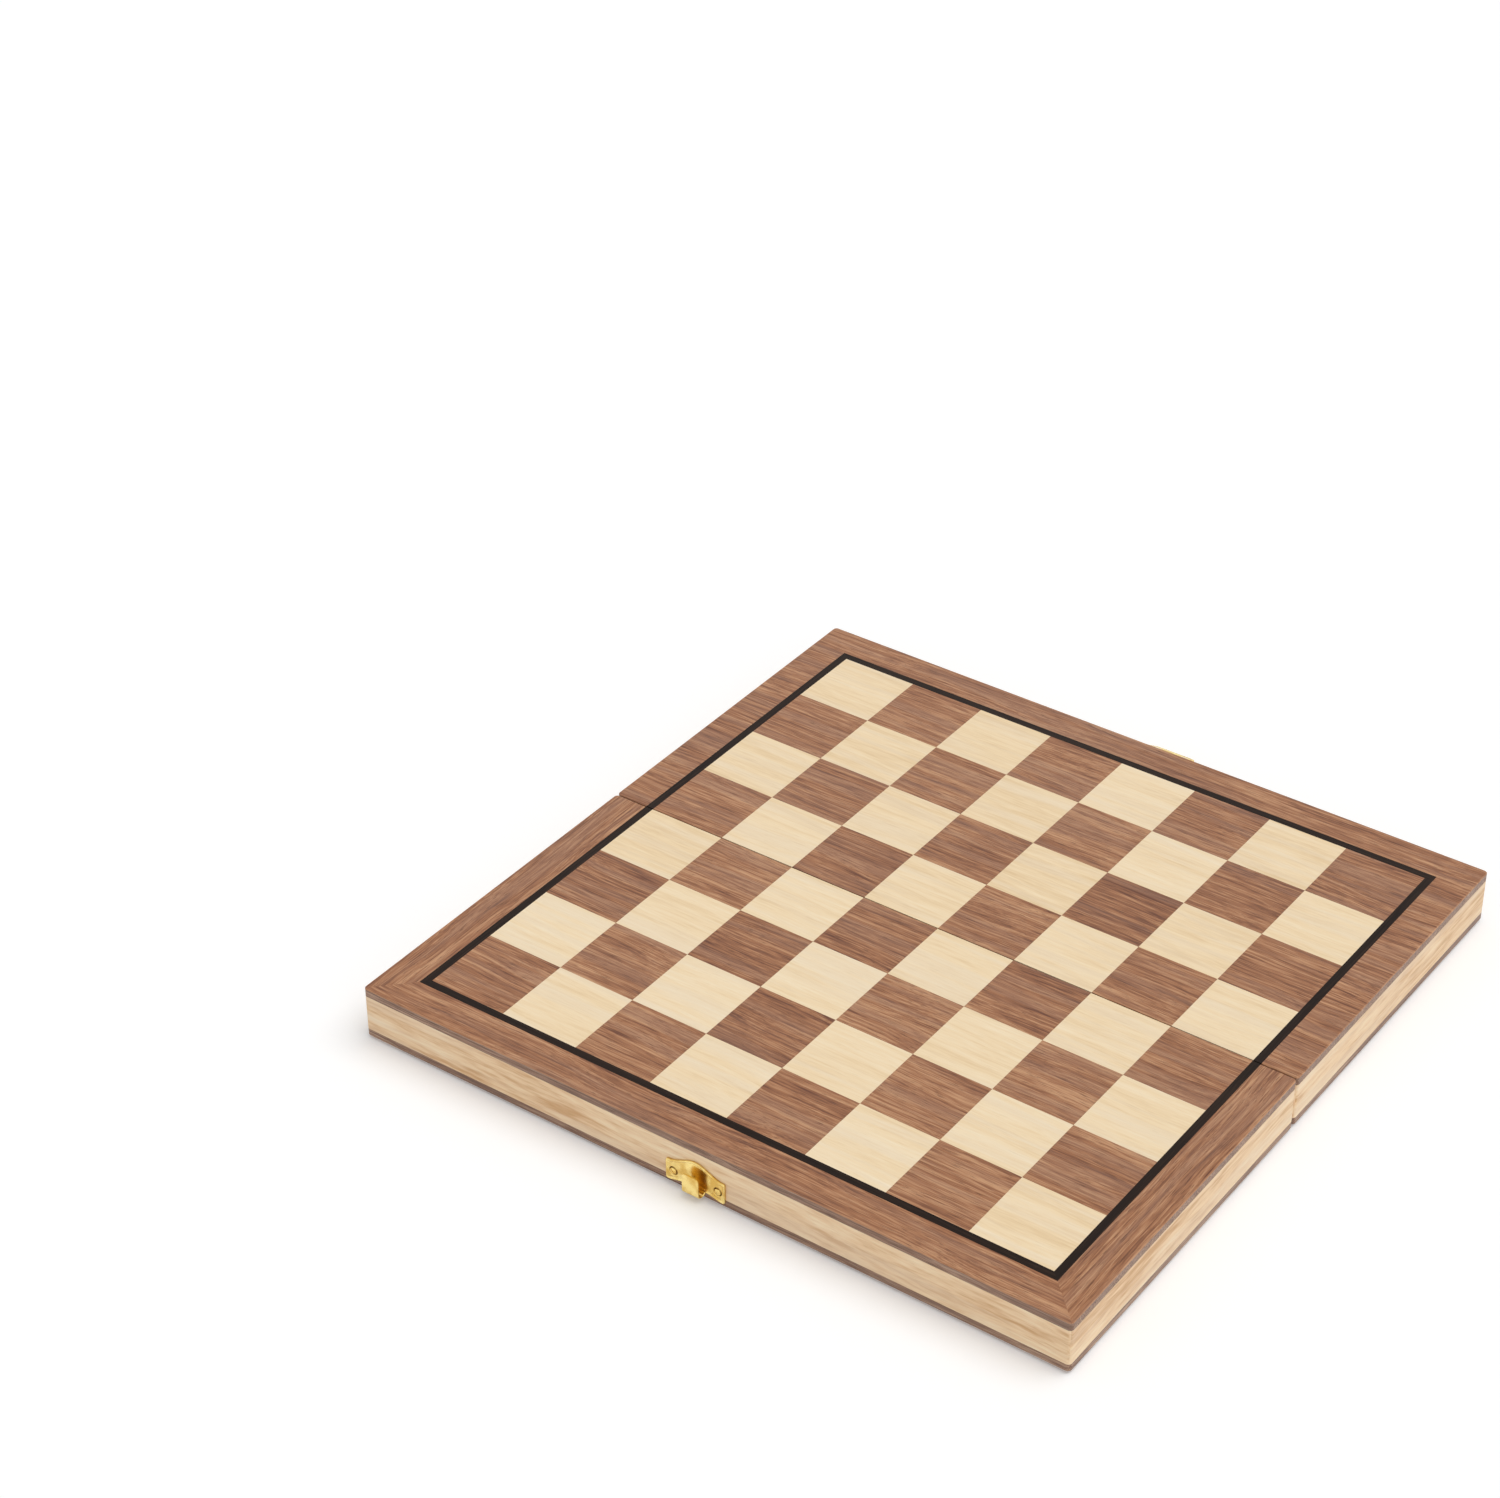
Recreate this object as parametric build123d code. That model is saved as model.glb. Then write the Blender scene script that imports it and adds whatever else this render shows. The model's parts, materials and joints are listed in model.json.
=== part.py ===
from build123d import *
import math
import os

# Folding chess board, in millimetres, lying open with its play surface up on the plane z = 0.
# X runs along the fold, Y from the catch at the near edge to the hasp at the far edge, Z up.
# The origin is under the middle of the fold. Folded, the halves meet rim to rim as a flat case.

# Play field and plan of a half
SQUARE = 42.0
FILES = 8
RANKS_IN_HALF = 4
BORDER = 22.5
INLAY_WIDTH = 4.2
FOLD_GAP = 0.6
CORNER_R = 2.0
GLUE_LINE = 0.04
BOARD_WIDTH = FILES * SQUARE + 2 * BORDER
HALF_DEPTH = RANKS_IN_HALF * SQUARE + BORDER
FOLD_FACE = FOLD_GAP / 2
OUTER_FACE = FOLD_FACE + HALF_DEPTH
STRIP_INSET = BORDER - INLAY_WIDTH

# Layers of a half, from the rim up
BARREL_R = 1.5
FOLD_Z = BARREL_R
RIM_ABOVE_FOLD = 0.15
RIM_Z = FOLD_Z + RIM_ABOVE_FOLD
RIM_STRIP = 3.6
WALL_HEIGHT = 18.9
PANEL = 3.9
VENEER = 0.6
WALL_Z = RIM_Z + RIM_STRIP
PANEL_Z = WALL_Z + WALL_HEIGHT
VENEER_Z = PANEL_Z + PANEL
WALL = 9.5
FELT = 1.0
TOP_EASING = 0.3

# Butt hinges let into the rims, two on the fold
HINGE_X = 110.0
HINGE_LENGTH = 30.0
LEAF_REACH = 8.3
LEAF = 0.9
KNUCKLES = 3
KNUCKLE_GAP = 0.1
HINGE_PIN_R = 0.75
RUNNING = 0.03
BARREL_CLEARANCE = 0.2
HINGE_SCREW_X = 9.0
HINGE_SCREW_Y = 5.4

# Countersunk screws: head radius, shank radius, head height, length
PLATE = 1.0
HINGE_SCREW = (1.8, 0.9, LEAF, 8.0)
PLATE_SCREW = (1.9, 0.9, PLATE, 8.0)
BASE_SCREW = (1.6, 0.8, PLATE, 8.0)
PILOT_SIDES = 8
PILOT_CLEARANCE = 0.02

# Catch plate on the near face, heights counted from the rim
CATCH_HALF_WIDTH = 16.0
CATCH_EAR_LOW = 1.8
CATCH_EAR_HIGH = 12.9
CATCH_CROWN = 17.6
CATCH_WAIST = 3.5
CATCH_WAIST_X = 5.4
CATCH_CORNER_R = 1.1
CATCH_SCREW_X = 12.0
CATCH_SCREW_UP = 7.0
HOOK_WIDTH = 9.0
HOOK_REACH = 5.0
HOOK_SHEET = 0.9
HOOK_TIP = 12.5
HOOK_CORNER_R = 1.6
HOOK_ROOT = 2.0

# Hasp on the far face: fixed base, pin, and a frame that swings over the catch hook
HASP_PIN_Z = 21.5
HASP_PIN_OFF = 1.8
HASP_PIN_R = 0.7
HASP_KNUCKLE_R = 1.6
BASE_WIDTH = 11.0
BASE_LOW_Z = 3.0
BASE_CORNER_R = 1.2
BASE_SCREW_Z = (10.6, 6.9)
NOTCH_DEPTH = 8.2
HASP_KNUCKLE_WIDTH = 5.2
HASP_GAP = 0.1
FRAME_WIDTH = 23.0
FRAME_BACK = 3.6
FRAME_SHEET = 1.0
FRAME_CROWN = 1.0
FRAME_SHOULDER = 3.5
FRAME_END = 38.3
FRAME_CORNER_R = 2.2
WINDOW_WIDTH = 12.0
WINDOW_TOP = 4.0
WINDOW_END = 33.3
WINDOW_CORNER_R = 0.8
FLANGE_BACK = 1.7
FLANGE = 1.0
FLANGE_TOP = 5.0
FRAME_EDGE = 0.4
WEB_TOP = 0.6
REST_SPLAY = 56.6

# How far a cutting shape runs past what it cuts
OVERSHOOT = 1.0
UP = (0, 0, 1)


def box_between(low, high):
    """Box from its lowest corner to its highest."""
    size = [b - a for a, b in zip(low, high)]
    centre = [(a + b) / 2 for a, b in zip(low, high)]
    return Pos(*centre) * Box(*size)


def rod_x(radius, x_low, x_high, y, z):
    """Round rod along X."""
    length = x_high - x_low
    return Pos((x_low + x_high) / 2, y, z) * Rot(0, 90, 0) * Cylinder(radius, length)


def ordered(a, b):
    return (min(a, b), max(a, b))


def half_slab(side, z_low, height, inset=0.0, corner=CORNER_R):
    """Slab with the plan of a half, drawn in all round by the inset."""
    plan = RectangleRounded(BOARD_WIDTH - 2 * inset, HALF_DEPTH - 2 * inset, corner)
    if inset:
        plan = Rectangle(BOARD_WIDTH - 2 * inset, HALF_DEPTH - 2 * inset)
    return extrude(Pos(0, side * (FOLD_FACE + HALF_DEPTH / 2), z_low) * plan, amount=height, dir=UP)


def eased_slab(side):
    """Top veneer layer of a half, its three outer top edges broken by sanding."""
    slab = half_slab(side, VENEER_Z, VENEER)
    top_edges = slab.edges().group_by(Axis.Z)[-1]
    outer_edges = [e for e in top_edges if abs(e.center().Y) > FOLD_FACE + CORNER_R]
    return chamfer(outer_edges, TOP_EASING)


def strip_corners(edge, outer, inner, joint):
    """Plan of one strip of a frame between two insets, for the half on the far side.

    joint is ring for four mitres, open for two mitres and square ends at the fold,
    and butted for side strips that run through past the outer one.
    """
    x_out = BOARD_WIDTH / 2 - outer
    x_in = BOARD_WIDTH / 2 - inner
    y_out = OUTER_FACE - outer
    y_in = OUTER_FACE - inner
    fold_out = FOLD_FACE + (outer if joint == "ring" else 0)
    fold_in = FOLD_FACE + (inner if joint == "ring" else 0)
    if edge == "fold":
        return [(-x_out, fold_out), (x_out, fold_out), (x_in, fold_in), (-x_in, fold_in)]
    if edge == "outer":
        x_long = x_in if joint == "butted" else x_out
        return [(-x_long, y_out), (x_long, y_out), (x_in, y_in), (-x_in, y_in)]
    sign = -1 if edge == "left" else 1
    y_short = y_out if joint == "butted" else y_in
    return [(sign * x_out, fold_out), (sign * x_out, y_out), (sign * x_in, y_short), (sign * x_in, fold_in)]


def strip(side, edge, slab, outer, inner, joint):
    """One strip of a frame, cut out of the slab that it is part of."""
    corners = [(x, side * y) for x, y in strip_corners(edge, outer, inner, joint)]
    plan = make_face(Polyline(corners, close=True))
    box = slab.bounding_box()
    prism = extrude(Pos(0, 0, box.min.Z) * plan, amount=box.size.Z, dir=UP)
    return slab & prism


def square_tiles(side, dark):
    """The sixteen veneer tiles of one colour on a half, each parted by a hairline of glue."""
    tiles = []
    for file in range(FILES):
        for rank in range(RANKS_IN_HALF):
            row = rank + (RANKS_IN_HALF if side > 0 else 0)
            if ((file + row) % 2 == 0) != dark:
                continue
            x = (file - (FILES - 1) / 2) * SQUARE
            y = (rank + 0.5) * SQUARE + FOLD_FACE
            if side < 0:
                y = -((RANKS_IN_HALF - rank - 0.5) * SQUARE + FOLD_FACE)
            tile = Box(SQUARE - GLUE_LINE, SQUARE - GLUE_LINE, VENEER)
            tiles.append(Pos(x, y, VENEER_Z + VENEER / 2) * tile)
    return Compound(children=tiles)


def screw(size):
    """Countersunk screw along Z, the flat of its head at z = 0 and its plain shank below."""
    head_r, shank_r, head, length = size
    corners = [(0, 0), (head_r, 0), (shank_r, -head), (shank_r, -length), (0, -length)]
    profile = Polyline(corners, close=True)
    return revolve(Plane.XZ * make_face(profile), Axis.Z)


def pilot_hole(size):
    """Eight-sided hole that the shank of a screw just fills, as long as the screw."""
    _, shank_r, _, length = size
    section = RegularPolygon(shank_r + PILOT_CLEARANCE, PILOT_SIDES, major_radius=False)
    return extrude(Pos(0, 0, -length) * section, amount=length, dir=UP)


def at_each(places, shape):
    """The same shape at each of the places."""
    return Compound(children=[place * shape for place in places])


def hinge_screw_places(side):
    """Two places in each of the two leaves on a half, facing up from the rim."""
    return [
        Pos(hinge_x + offset, side * HINGE_SCREW_Y, RIM_Z) * Rot(180, 0, 0)
        for hinge_x in (-HINGE_X, HINGE_X)
        for offset in (-HINGE_SCREW_X, HINGE_SCREW_X)
    ]


def knuckle_spans(hinge_x):
    """Start and end along X of each knuckle, with a small gap between neighbours."""
    length = (HINGE_LENGTH - (KNUCKLES - 1) * KNUCKLE_GAP) / KNUCKLES
    start = hinge_x - HINGE_LENGTH / 2
    return [
        (start + k * (length + KNUCKLE_GAP), start + k * (length + KNUCKLE_GAP) + length)
        for k in range(KNUCKLES)
    ]


def hinge_leaf(hinge_x, side, screws):
    """Butt hinge leaf with its knuckles rolled round the fold axis, the first one on the near leaf."""
    x_low = hinge_x - HINGE_LENGTH / 2
    x_high = hinge_x + HINGE_LENGTH / 2
    cut_back = side * (BARREL_R + BARREL_CLEARANCE)
    y_low, y_high = ordered(cut_back, side * LEAF_REACH)
    leaf = box_between((x_low, y_low, RIM_Z), (x_high, y_high, RIM_Z + LEAF))
    first = 0 if side < 0 else 1
    for span_low, span_high in knuckle_spans(hinge_x)[first::2]:
        y_low, y_high = ordered(0, cut_back)
        leaf += box_between((span_low, y_low, RIM_Z), (span_high, y_high, RIM_Z + LEAF))
        leaf += rod_x(BARREL_R, span_low, span_high, 0, FOLD_Z)
    bore_r = HINGE_PIN_R if side < 0 else HINGE_PIN_R + RUNNING
    leaf -= rod_x(bore_r, x_low - OVERSHOOT, x_high + OVERSHOOT, 0, FOLD_Z)
    return leaf - screws


def cut_for_hinges(rim, side):
    """Rim strip at the fold with the leaf mortises and the barrel hollows."""
    for hinge_x in (-HINGE_X, HINGE_X):
        x_low = hinge_x - HINGE_LENGTH / 2
        x_high = hinge_x + HINGE_LENGTH / 2
        y_low, y_high = ordered(0, side * LEAF_REACH)
        rim -= box_between((x_low, y_low, RIM_Z - OVERSHOOT), (x_high, y_high, RIM_Z + LEAF))
        hollow_r = BARREL_R + BARREL_CLEARANCE
        rim -= rod_x(hollow_r, x_low - BARREL_CLEARANCE, x_high + BARREL_CLEARANCE, 0, FOLD_Z)
    return rim


def half_body(side, name, outer_name, border_joint, fitting_holes):
    """The wooden pieces of one half: walls, rim strips, panel, veneers, inlay and felt."""
    nodes = {}
    edges = {"outer": outer_name, "fold": "fold", "left": "left", "right": "right"}
    wall_slab = half_slab(side, WALL_Z, WALL_HEIGHT)
    rim_slab = half_slab(side, RIM_Z, RIM_STRIP)
    hinge_holes = at_each(hinge_screw_places(side), pilot_hole(HINGE_SCREW))
    for edge, word in edges.items():
        wall = strip(side, edge, wall_slab, 0, WALL, "ring")
        rim = strip(side, edge, rim_slab, 0, WALL, "ring")
        if edge == "fold":
            wall = wall - hinge_holes
            rim = cut_for_hinges(rim, side) - hinge_holes
        if edge == "outer":
            wall = wall - fitting_holes
        nodes[f"{name}_{word}_wall"] = wall
        nodes[f"{name}_{word}_rim"] = rim
    nodes[f"{name}_panel"] = half_slab(side, PANEL_Z, PANEL)
    veneer_slab = eased_slab(side)
    for edge in ("outer", "left", "right"):
        word = edges[edge]
        nodes[f"{name}_{word}_border"] = strip(side, edge, veneer_slab, 0, STRIP_INSET, border_joint)
        inlay = strip(side, edge, half_slab(side, VENEER_Z, VENEER), STRIP_INSET, BORDER, "open")
        nodes[f"{name}_{word}_inlay"] = inlay
    nodes[f"{name}_dark_squares"] = square_tiles(side, dark=True)
    nodes[f"{name}_light_squares"] = square_tiles(side, dark=False)
    nodes[f"{name}_felt"] = half_slab(side, PANEL_Z - FELT, FELT, inset=WALL)
    return nodes


def near_face():
    """Drawing plane on the near outer face: X across, height above the rim, out towards -Y."""
    return Plane(origin=(0, -OUTER_FACE, RIM_Z), x_dir=(1, 0, 0), z_dir=(0, -1, 0))


def far_face():
    """Drawing plane on the far outer face: -X across, height above the table, out towards +Y."""
    return Plane(origin=(0, OUTER_FACE, 0), x_dir=(-1, 0, 0), z_dir=(0, 1, 0))


def catch_outline():
    """Winged outline: two upright ears, an ogee up to the crown and a shallow one to the waist."""
    ear_x = CATCH_HALF_WIDTH
    flat = (1, 0)
    top_left = Spline([(-ear_x, CATCH_EAR_HIGH), (0, CATCH_CROWN)], tangents=[flat, flat])
    low_left = Spline([(-ear_x, CATCH_EAR_LOW), (-CATCH_WAIST_X, CATCH_WAIST)], tangents=[flat, flat])
    ear_left = Line((-ear_x, CATCH_EAR_LOW), (-ear_x, CATCH_EAR_HIGH))
    left = top_left + low_left + ear_left
    waist = Line((-CATCH_WAIST_X, CATCH_WAIST), (CATCH_WAIST_X, CATCH_WAIST))
    right = mirror(left, Plane.YZ)
    face = make_face(left + waist + right)
    by_side = face.vertices().group_by(Axis.X)
    return fillet(by_side[0] + by_side[-1], CATCH_CORNER_R)


def catch_hook():
    """Tab bent out from the plate's waist and back up, as a J in section."""
    bend_out = HOOK_REACH / 2
    bend_in = bend_out - HOOK_SHEET
    turn = Pos(bend_out, CATCH_WAIST) * (Circle(bend_out) - Circle(bend_in))
    turn &= Pos(bend_out, CATCH_WAIST - bend_out) * Rectangle(HOOK_REACH, HOOK_REACH)
    rise = HOOK_TIP - CATCH_WAIST
    tab = Pos(HOOK_REACH - HOOK_SHEET / 2, CATCH_WAIST + rise / 2) * Rectangle(HOOK_SHEET, rise)
    root = Pos(HOOK_SHEET / 2, CATCH_WAIST + HOOK_ROOT / 2) * Rectangle(HOOK_SHEET, HOOK_ROOT)
    side_view = Plane(origin=(0, -OUTER_FACE, RIM_Z), x_dir=(0, -1, 0), z_dir=(-1, 0, 0))
    hook = extrude(side_view * (turn + tab + root), amount=HOOK_WIDTH / 2, both=True)
    tip_corners = hook.edges().filter_by(Axis.Y).group_by(Axis.Z)[-1]
    return fillet(tip_corners, HOOK_CORNER_R)


def catch_screw_places():
    """One place in each ear."""
    return [near_face() * Pos(x, CATCH_SCREW_UP, PLATE) for x in (-CATCH_SCREW_X, CATCH_SCREW_X)]


def catch_plate(screws):
    plate = extrude(near_face() * catch_outline(), amount=PLATE)
    return plate + catch_hook() - screws


def hasp_axis_rod(radius, x_low, x_high):
    """Rod on the hasp's pin axis."""
    return rod_x(radius, x_low, x_high, OUTER_FACE + HASP_PIN_OFF, HASP_PIN_Z)


def base_screw_places():
    """Two places in line down the hasp's base."""
    return [far_face() * Pos(0, z, PLATE) for z in BASE_SCREW_Z]


def hasp_base(screws):
    """Base plate with two knuckles at its head and a V notch between them."""
    half = BASE_WIDTH / 2
    knuckle_half = HASP_KNUCKLE_WIDTH / 2 + HASP_GAP
    height = HASP_PIN_Z - BASE_LOW_Z
    outline = Pos(0, BASE_LOW_Z + height / 2) * Rectangle(BASE_WIDTH, height)
    low_corners = outline.vertices().group_by(Axis.Y)[0]
    outline = fillet(low_corners, BASE_CORNER_R)
    clear = HASP_KNUCKLE_R + BARREL_CLEARANCE
    notch_top = HASP_PIN_Z - clear
    notch = make_face(Polyline([
        (-knuckle_half, HASP_PIN_Z + OVERSHOOT),
        (-knuckle_half, notch_top),
        (0, HASP_PIN_Z - NOTCH_DEPTH),
        (knuckle_half, notch_top),
        (knuckle_half, HASP_PIN_Z + OVERSHOOT),
    ], close=True))
    base = extrude(far_face() * (outline - notch), amount=PLATE)
    for x_low, x_high in ((-half, -knuckle_half), (knuckle_half, half)):
        base += hasp_axis_rod(HASP_KNUCKLE_R, x_low, x_high)
        heel_low = (x_low, OUTER_FACE, HASP_PIN_Z - HASP_KNUCKLE_R)
        heel_high = (x_high, OUTER_FACE + HASP_PIN_OFF, HASP_PIN_Z)
        base += box_between(heel_low, heel_high)
    base -= hasp_axis_rod(HASP_PIN_R, -BASE_WIDTH, BASE_WIDTH)
    return base - screws


def hasp_pin():
    return hasp_axis_rod(HASP_PIN_R, -BASE_WIDTH / 2, BASE_WIDTH / 2)


def frame_outline(inset=0.0):
    """Arched outline of the frame, counted down from the pin, drawn in by the inset."""
    half = FRAME_WIDTH / 2 - inset
    crown = HASP_PIN_Z + FRAME_CROWN - inset
    shoulder = HASP_PIN_Z - FRAME_SHOULDER - inset
    end = HASP_PIN_Z - FRAME_END + inset
    arch = ThreePointArc((-half, shoulder), (0, crown), (half, shoulder))
    rest = Polyline([(half, shoulder), (half, end), (-half, end), (-half, shoulder)])
    face = make_face(arch + rest)
    end_corners = face.vertices().group_by(Axis.Y)[0]
    return fillet(end_corners, FRAME_CORNER_R - inset)


def frame_window():
    length = WINDOW_END - WINDOW_TOP
    centre_z = HASP_PIN_Z - (WINDOW_TOP + WINDOW_END) / 2
    return Pos(0, centre_z) * RectangleRounded(WINDOW_WIDTH, length, WINDOW_CORNER_R)


def hasp_frame_latched():
    """Swinging frame over the catch: arched sheet with a window and edges turned to the wall."""
    sheet = extrude(far_face() * Pos(0, 0, FRAME_BACK) * frame_outline(), amount=FRAME_SHEET)
    front_edges = sheet.edges().group_by(Axis.Y)[-1]
    sheet = chamfer(front_edges, FRAME_EDGE)
    turned = frame_outline() - frame_outline(FLANGE)
    turned &= Pos(0, HASP_PIN_Z - FLANGE_TOP - FRAME_END / 2) * Rectangle(FRAME_WIDTH, FRAME_END)
    flange_depth = FRAME_BACK - FLANGE_BACK
    flange = extrude(far_face() * Pos(0, 0, FLANGE_BACK) * turned, amount=flange_depth)
    half = HASP_KNUCKLE_WIDTH / 2
    pin_y = OUTER_FACE + HASP_PIN_OFF
    web_low = (-half, pin_y, HASP_PIN_Z - HASP_KNUCKLE_R)
    web_high = (half, OUTER_FACE + FRAME_BACK, HASP_PIN_Z + WEB_TOP)
    knuckle = hasp_axis_rod(HASP_KNUCKLE_R, -half, half) + box_between(web_low, web_high)
    frame = sheet + flange + knuckle
    frame -= extrude(far_face() * frame_window(), amount=FRAME_BACK + FRAME_SHEET)
    return frame - hasp_axis_rod(HASP_PIN_R + RUNNING, -BASE_WIDTH, BASE_WIDTH)


def hasp_frame():
    """Frame as it lies with the board open, splayed out until its end bar is down on the table."""
    pin_axis = Axis((0, OUTER_FACE + HASP_PIN_OFF, HASP_PIN_Z), (1, 0, 0))
    return hasp_frame_latched().rotate(pin_axis, REST_SPLAY)


def build():
    near_screws = at_each(hinge_screw_places(-1), screw(HINGE_SCREW))
    far_screws = at_each(hinge_screw_places(1), screw(HINGE_SCREW))
    plate_screws = at_each(catch_screw_places(), screw(PLATE_SCREW))
    base_screws = at_each(base_screw_places(), screw(BASE_SCREW))
    plate_holes = at_each(catch_screw_places(), pilot_hole(PLATE_SCREW))
    base_holes = at_each(base_screw_places(), pilot_hole(BASE_SCREW))
    nodes = half_body(-1, "near", "front", "open", plate_holes)
    nodes.update(half_body(1, "far", "back", "butted", base_holes))
    for word, hinge_x in (("left", -HINGE_X), ("right", HINGE_X)):
        nodes[f"hinge_{word}_near_leaf"] = hinge_leaf(hinge_x, -1, near_screws)
        nodes[f"hinge_{word}_far_leaf"] = hinge_leaf(hinge_x, 1, far_screws)
        x_low = hinge_x - HINGE_LENGTH / 2
        nodes[f"hinge_{word}_pin"] = rod_x(HINGE_PIN_R, x_low, x_low + HINGE_LENGTH, 0, FOLD_Z)
    nodes["near_hinge_screws"] = near_screws
    nodes["far_hinge_screws"] = far_screws
    nodes["catch_plate"] = catch_plate(plate_screws)
    nodes["catch_screws"] = plate_screws
    nodes["hasp_base"] = hasp_base(base_screws)
    nodes["hasp_base_screws"] = base_screws
    nodes["hasp_pin"] = hasp_pin()
    nodes["hasp_frame"] = hasp_frame()
    return nodes


os.makedirs("parts", exist_ok=True)
for node_name, solid in build().items():
    export_step(solid, f"parts/{node_name}.step")
    print(node_name, round(solid.volume, 1))
lowest_end = HASP_PIN_Z - FRAME_END * math.cos(math.radians(REST_SPLAY))
print("hasp end bar above the table", round(lowest_end, 2))
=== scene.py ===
# %% [markdown]
# # A folding chess board, dressed on its construction model
# The board lies open with its play surface up. The construction model gives every wooden and brass
# piece its place and size, so this script never moves one. It adds a camera, light, finishes worked
# out from maths, and a few finer pieces where thin pressed brass or cloth needs a smoother shape.

# %% Load the frame
import bpy
import bmesh
import json
import math
import numpy as np
from mathutils import Matrix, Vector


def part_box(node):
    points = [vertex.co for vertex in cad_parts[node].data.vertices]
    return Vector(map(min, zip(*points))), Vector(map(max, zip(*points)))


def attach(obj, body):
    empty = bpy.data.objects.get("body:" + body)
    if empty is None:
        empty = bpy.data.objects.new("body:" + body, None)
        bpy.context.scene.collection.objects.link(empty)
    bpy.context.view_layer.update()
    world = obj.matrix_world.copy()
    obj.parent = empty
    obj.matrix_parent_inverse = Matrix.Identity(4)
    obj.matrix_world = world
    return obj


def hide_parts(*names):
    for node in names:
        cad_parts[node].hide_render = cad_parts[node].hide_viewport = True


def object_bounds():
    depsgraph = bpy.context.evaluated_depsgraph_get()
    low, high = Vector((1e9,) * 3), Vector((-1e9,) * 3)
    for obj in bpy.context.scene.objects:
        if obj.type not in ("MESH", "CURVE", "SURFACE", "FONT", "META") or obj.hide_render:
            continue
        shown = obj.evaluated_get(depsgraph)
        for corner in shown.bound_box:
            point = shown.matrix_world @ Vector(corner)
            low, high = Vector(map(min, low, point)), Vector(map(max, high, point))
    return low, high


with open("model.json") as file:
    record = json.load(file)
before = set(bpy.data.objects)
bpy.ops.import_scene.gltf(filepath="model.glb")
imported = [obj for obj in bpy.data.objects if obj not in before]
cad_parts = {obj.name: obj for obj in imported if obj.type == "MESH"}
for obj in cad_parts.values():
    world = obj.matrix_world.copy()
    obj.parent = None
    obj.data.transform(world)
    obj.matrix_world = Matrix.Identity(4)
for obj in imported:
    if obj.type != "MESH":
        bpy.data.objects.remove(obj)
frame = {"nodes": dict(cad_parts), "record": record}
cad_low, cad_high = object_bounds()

MM = 0.001
nodes = frame["nodes"]

# %% [markdown]
# ## Sizes read from the frame
# A dressed piece has to sit on the wood that carries it. So the faces of the board, the level of
# the rims and the hasp's pin are read from the model here, and later cells count from them.

# %% Faces and axes of the board
def joint(name):
    """The named joint as the record tells it."""
    return next(j for j in frame["record"]["behaviour"]["joints"] if j["name"] == name)


front_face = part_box("near_front_wall")[0][1] / MM
back_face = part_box("far_back_wall")[1][1] / MM
side_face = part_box("near_panel")[1][0] / MM
rim_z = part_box("near_front_rim")[0][2] / MM
top_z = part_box("near_light_squares")[1][2] / MM
hasp_joint = joint("hasp_swing")
hasp_pin_y, hasp_pin_z = (c / MM for c in hasp_joint["pos_m"][1:])
hasp_splay = math.radians(hasp_joint["range_deg"][1])
print("front", round(front_face, 2), "back", round(back_face, 2), "top", round(top_z, 2))

# %% [markdown]
# ## The camera
# The photograph was taken with a long lens from the front right corner, about 34 degrees above the
# table. Its place and turn come from matching the corners of the board, and are written as real
# sizes: the distance from the middle of the play surface, and the picture's three directions.

# %% Place the camera
FOCAL_PIXELS = 3454.6
PICTURE_WIDTH = 1500
SENSOR = 36.0
NEAREST_SEEN = 0.05
CAMERA_FROM_TOP = np.array([692.2, -1098.4, 981.9])
PICTURE_RIGHT = (0.810394, 0.585857, -0.005829)
PICTURE_DOWN = (0.325139, -0.457984, -0.827367)
PICTURE_AHEAD = (-0.487388, 0.668597, -0.561631)


def add_camera():
    """The camera looks back along its own Z, so down and ahead are given to it turned round."""
    lens = bpy.data.cameras.new("camera")
    lens.sensor_width = SENSOR
    lens.lens = SENSOR * FOCAL_PIXELS / PICTURE_WIDTH
    lens.clip_start = NEAREST_SEEN
    camera = bpy.data.objects.new("camera", lens)
    up = [-d for d in PICTURE_DOWN]
    back = [-a for a in PICTURE_AHEAD]
    turn = Matrix([PICTURE_RIGHT, up, back]).transposed()
    place = (CAMERA_FROM_TOP + np.array([0, 0, top_z])) * MM
    camera.matrix_world = Matrix.Translation(place) @ turn.to_4x4()
    bpy.context.scene.collection.objects.link(camera)
    bpy.context.scene.camera = camera
    return camera


camera = add_camera()
print("lens", round(camera.data.lens, 1), "mm")

# %% [markdown]
# ## Shader maths written as sums
# Wood grain is arithmetic on the place of a point. A socket wrapped in a small class can be added
# and multiplied like a number, and each operation quietly adds one Math node. Everything else comes
# from one method that takes the node's type, its settings and what goes into its sockets.

# %% A wire that can be calculated with
MM_PER_METRE = 1000
SCREEN_GAMMA = 2.2


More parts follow.
